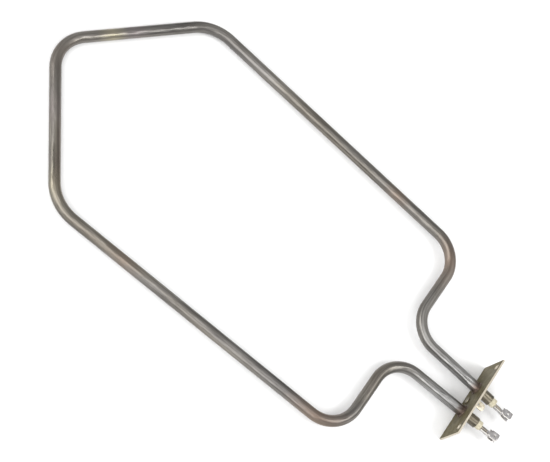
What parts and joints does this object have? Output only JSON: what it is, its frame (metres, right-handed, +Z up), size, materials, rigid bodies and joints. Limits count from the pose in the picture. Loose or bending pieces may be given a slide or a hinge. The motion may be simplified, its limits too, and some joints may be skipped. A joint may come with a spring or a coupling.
{
  "type": "tubular heating element",
  "caption": "Bent metal-sheathed electric heating loop on a flat flange, with ceramic end bushes, folded twin tabs and an earth tab.",
  "frame": {"origin": "midway between the two fixing holes, on the flange's mounting face", "axes": "+X along the flange, +Y from the mounting face through the flange into the loop, +Z up from the loop's plane towards the fixing holes"},
  "size_m": [0.2026, 0.4284, 0.028],
  "materials": {
    "sheath_steel": "satin, oxidised",
    "plated_steel": "yellow passivated",
    "tinned_brass": "tinned",
    "rivet_steel": "plated",
    "pin_steel": "drawn",
    "seal_resin": "matt",
    "bush_ceramic": "unglazed",
    "braze_alloy": "flowed, dark",
    "tab_steel": "plated"
  },
  "bodies": {
    "root": {"sheath_tube": "sheath_steel", "flange_plate": "plated_steel", "earth_tab": "tinned_brass", "earth_rivet": "rivet_steel", "pin_left": "pin_steel", "end_seal_left": "seal_resin", "end_bush_left": "bush_ceramic", "braze_fillet_left": "braze_alloy", "twin_tab_left": "tab_steel", "pin_right": "pin_steel", "end_seal_right": "seal_resin", "end_bush_right": "bush_ceramic", "braze_fillet_right": "braze_alloy", "twin_tab_right": "tab_steel"}
  },
  "joints": []
}
